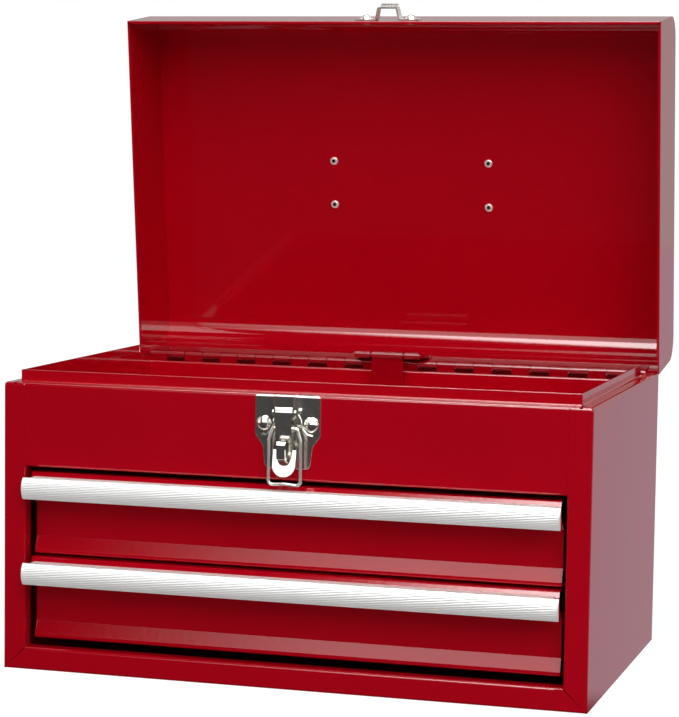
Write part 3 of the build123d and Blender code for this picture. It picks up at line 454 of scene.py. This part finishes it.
# ---- Floor, surroundings and lamps ---------------------------------------------------------
# A white table that runs into a white surround, lit by one soft box.  Gloss surfaces see it
# pale behind and beside the box, and dark on the side of the viewer under a tall window.
FLOOR_HALF = 6.0
FLOOR_LEVEL = -0.0002       # just under the box
FLOOR_TURN = (-0.12, -0.04) # where gloss sees the table turn from dark to pale, front to back
FLOOR_DARK = 0.02
FLOOR_PALE = 0.54
FLOOR_TINT = (0.97, 0.82, 0.94, 1)
FLOOR_CLOTH = (0.25, 0.25, 0.25, 1)
FLOOR_GLOW = (0.30, 0.91)   # its own light, for the box and for the eye
GLOSS_SURROUND = 0.50       # brightness of the surround in gloss paint
SOFT_LIGHT = 0.40           # brightness of the surround as light
WINDOW_LIGHT = 2.9          # brightness of the window that gloss sees in front
WINDOW_FOOT = (0.17, 0.26)  # its lower edge, as the height of a direction
WINDOW_LEFT = (-0.45, -0.30)    # its left and right edges, as bearings in radians
WINDOW_RIGHT = (1.0, 1.2)
WINDOW_CROWN = (0.90, 0.97) # above this height it reaches all round
WINDOW_BACK = (0.05, 0.35)  # and fades out towards the rear
TOP_FOOT = (0.52, 0.62)     # lower edge of its brighter upper part
TOP_BOOST = 5.5             # how much brighter that is
REAR_START = (-0.45, 0.15)  # from the viewer's side to the pale rear half
FLANK_START = (0.60, 0.85)  # how far to a side the flanks begin
FLANK_LIGHT = 1.3           # brightness of the surround to the far left and right
KEY_PLACE = (0.55, -1.25, 1.40)
KEY_AIM = (0, 0, 0.15)
KEY_SIZE = 1.7
KEY_RADIANCE = 2.9


def floor_material():
    """White to the eye with a faint shadow; in gloss a pale grey behind the box, black before it."""
    material = bpy.data.materials.new("table_white")
    material.use_nodes = True
    tree = material.node_tree
    tree.nodes.clear()
    new, link = tree.nodes.new, tree.links.new
    path, place = new("ShaderNodeLightPath"), new("ShaderNodeNewGeometry")
    split = new("ShaderNodeSeparateXYZ")
    link(place.outputs["Position"], split.inputs["Vector"])
    behind = new("ShaderNodeMapRange")
    behind.interpolation_type = "SMOOTHSTEP"
    behind.inputs["From Min"].default_value = FLOOR_TURN[0]
    behind.inputs["From Max"].default_value = FLOOR_TURN[1]
    behind.inputs["To Min"].default_value = FLOOR_DARK
    behind.inputs["To Max"].default_value = FLOOR_PALE
    link(split.outputs["Y"], behind.inputs["Value"])
    seen = new("ShaderNodeMath")
    seen.operation = "MAXIMUM"
    link(path.outputs["Is Camera Ray"], seen.inputs[0])
    link(path.outputs["Is Transmission Ray"], seen.inputs[1])
    glow = new("ShaderNodeMapRange")
    glow.inputs["To Min"].default_value = FLOOR_GLOW[0]
    glow.inputs["To Max"].default_value = FLOOR_GLOW[1]
    link(seen.outputs["Value"], glow.inputs["Value"])
    paper, mirrored = new("ShaderNodeEmission"), new("ShaderNodeEmission")
    mirrored.inputs["Color"].default_value = FLOOR_TINT
    link(glow.outputs["Result"], paper.inputs["Strength"])
    link(behind.outputs["Result"], mirrored.inputs["Strength"])
    cloth = new("ShaderNodeBsdfDiffuse")
    cloth.inputs["Color"].default_value = FLOOR_CLOTH
    lit = new("ShaderNodeAddShader")
    link(cloth.outputs["BSDF"], lit.inputs[0])
    link(paper.outputs["Emission"], lit.inputs[1])
    share = new("ShaderNodeMixShader")
    link(path.outputs["Is Glossy Ray"], share.inputs["Fac"])
    link(lit.outputs["Shader"], share.inputs[1])
    link(mirrored.outputs["Emission"], share.inputs[2])
    out = new("ShaderNodeOutputMaterial")
    link(share.outputs["Shader"], out.inputs["Surface"])
    return material


floor_mesh = bpy.data.meshes.new("table")
corners = [(x * FLOOR_HALF, y * FLOOR_HALF, FLOOR_LEVEL)
           for x, y in ((-1, -1), (1, -1), (1, 1), (-1, 1))]
floor_mesh.from_pydata(corners, [], [(0, 1, 2, 3)])
floor_mesh.materials.append(floor_material())
table = bpy.data.objects.new("table", floor_mesh)
bpy.context.scene.collection.objects.link(table)


def surround():
    """White to the eye and even as light; gloss sees a grey rear half and one tall window in front."""
    world = bpy.data.worlds.new("surround")
    world.use_nodes = True
    tree = world.node_tree
    tree.nodes.clear()
    new, link = tree.nodes.new, tree.links.new
    path, place = new("ShaderNodeLightPath"), new("ShaderNodeTexCoord")
    split = new("ShaderNodeSeparateXYZ")
    link(place.outputs["Generated"], split.inputs["Vector"])

    def ramp(source, start, stop, low, high):
        """Smooth step of a value between two places, from low to high."""
        node = new("ShaderNodeMapRange")
        node.interpolation_type = "SMOOTHSTEP"
        for name, value in (("From Min", start), ("From Max", stop), ("To Min", low), ("To Max", high)):
            node.inputs[name].default_value = value
        link(source, node.inputs["Value"])
        return node.outputs["Result"]

    def combined(operation, first, second):
        """Two values joined by a maths operation."""
        node = new("ShaderNodeMath")
        node.operation = operation
        link(first, node.inputs[0])
        link(second, node.inputs[1])
        return node.outputs["Value"]

    rear = ramp(split.outputs["Y"], *REAR_START, 0.0, GLOSS_SURROUND)
    bearing = new("ShaderNodeMath")
    bearing.operation = "ARCTAN2"
    forward = new("ShaderNodeMath")
    forward.operation = "MULTIPLY"
    forward.inputs[1].default_value = -1.0
    link(split.outputs["Y"], forward.inputs[0])
    link(split.outputs["X"], bearing.inputs[0])
    link(forward.outputs["Value"], bearing.inputs[1])
    sides = combined("MULTIPLY", ramp(bearing.outputs["Value"], *WINDOW_LEFT, 0.0, 1.0),
                     ramp(bearing.outputs["Value"], *WINDOW_RIGHT, 1.0, 0.0))
    overhead = ramp(split.outputs["Z"], *WINDOW_CROWN, 0.0, 1.0)
    front = combined("MULTIPLY", ramp(split.outputs["Z"], *WINDOW_FOOT, 0.0, WINDOW_LIGHT),
                     combined("MAXIMUM", sides, overhead))
    front = combined("MULTIPLY", front, ramp(split.outputs["Y"], *WINDOW_BACK, 1.0, 0.0))
    front = combined("MULTIPLY", front, ramp(split.outputs["Z"], *TOP_FOOT, 1.0, TOP_BOOST))
    flank = new("ShaderNodeMath")
    flank.operation = "ABSOLUTE"
    link(split.outputs["X"], flank.inputs[0])
    front = combined("MAXIMUM", front, ramp(flank.outputs["Value"], *FLANK_START, 0.0, FLANK_LIGHT))
    seen = new("ShaderNodeMix")
    link(path.outputs["Is Glossy Ray"], seen.inputs["Factor"])
    seen.inputs["A"].default_value = SOFT_LIGHT
    link(combined("MAXIMUM", rear, front), seen.inputs["B"])
    direct = combined("MAXIMUM", path.outputs["Is Camera Ray"], path.outputs["Is Transmission Ray"])
    sky = new("ShaderNodeBackground")
    sky.inputs["Color"].default_value = (1, 1, 1, 1)
    link(combined("MAXIMUM", seen.outputs["Result"], direct), sky.inputs["Strength"])
    out = new("ShaderNodeOutputWorld")
    link(sky.outputs["Background"], out.inputs["Surface"])
    return world


bpy.context.scene.world = surround()


def soft_lamp(name, place, target, width, height, radiance):
    """A flat soft box of even radiance that faces a point and doesn't show in gloss surfaces."""
    data = bpy.data.lights.new(name, "AREA")
    data.shape = "RECTANGLE"
    data.size, data.size_y = width, height
    data.energy = radiance * math.pi * width * height
    lamp = bpy.data.objects.new(name, data)
    aim = Vector(target) - Vector(place)
    lamp.matrix_world = Matrix.Translation(place) @ aim.to_track_quat("-Z", "Y").to_matrix().to_4x4()
    lamp.visible_glossy = False
    bpy.context.scene.collection.objects.link(lamp)


soft_lamp("key_soft_box", KEY_PLACE, KEY_AIM, KEY_SIZE, KEY_SIZE, KEY_RADIANCE)

bpy.context.scene.view_settings.view_transform = "Standard"
